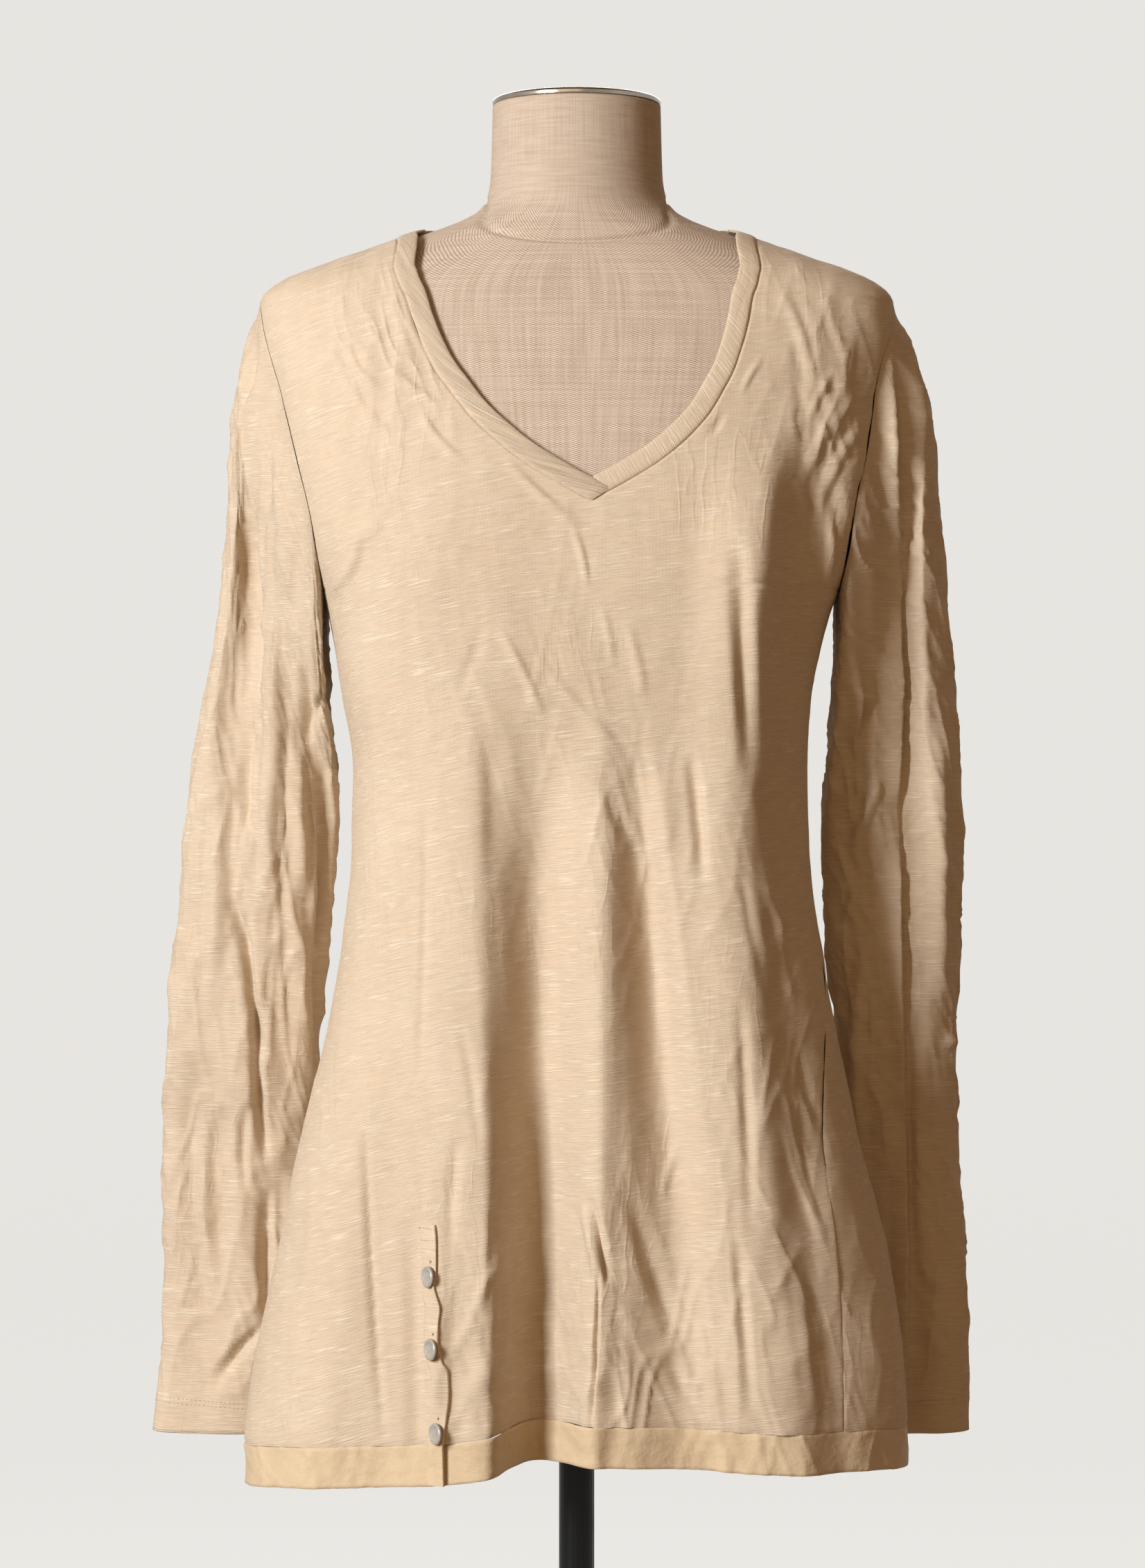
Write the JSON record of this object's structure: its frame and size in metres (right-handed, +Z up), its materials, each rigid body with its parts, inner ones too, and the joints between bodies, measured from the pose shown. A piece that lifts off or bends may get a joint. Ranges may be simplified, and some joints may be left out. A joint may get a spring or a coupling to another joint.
{
  "type": "long-sleeved v-neck t-shirt on a dress form",
  "caption": "Long-sleeved V-neck slub jersey t-shirt with a woven hem band and a buttoned hem vent, worn by a limbless linen dress form on a pole stand.",
  "frame": {"origin": "on the floor, at the middle of the base plate's underside, on the pole's axis", "axes": "+Z up along the pole, -Y out of the shirt's front, +X to the wearer's left"},
  "size_m": [0.4829, 0.35, 1.5199],
  "materials": {
    "slub_jersey": "matte",
    "woven_band": "matte",
    "mother_of_pearl": "gloss",
    "form_linen": "matte",
    "dark_steel": "polished",
    "black_paint": "satin"
  },
  "bodies": {
    "root": {"front_panel": "slub_jersey", "back_panel": "slub_jersey", "sleeve_right": "slub_jersey", "sleeve_left": "slub_jersey", "neckband": "slub_jersey", "hem_band_front": "woven_band", "hem_band_back": "woven_band", "placket": "slub_jersey", "button_1": "mother_of_pearl", "button_2": "mother_of_pearl", "button_3": "mother_of_pearl", "form_body": "form_linen", "form_neck_ring": "dark_steel", "form_socket": "black_paint", "pole": "black_paint", "pole_hub": "black_paint", "base_plate": "black_paint"}
  },
  "joints": []
}
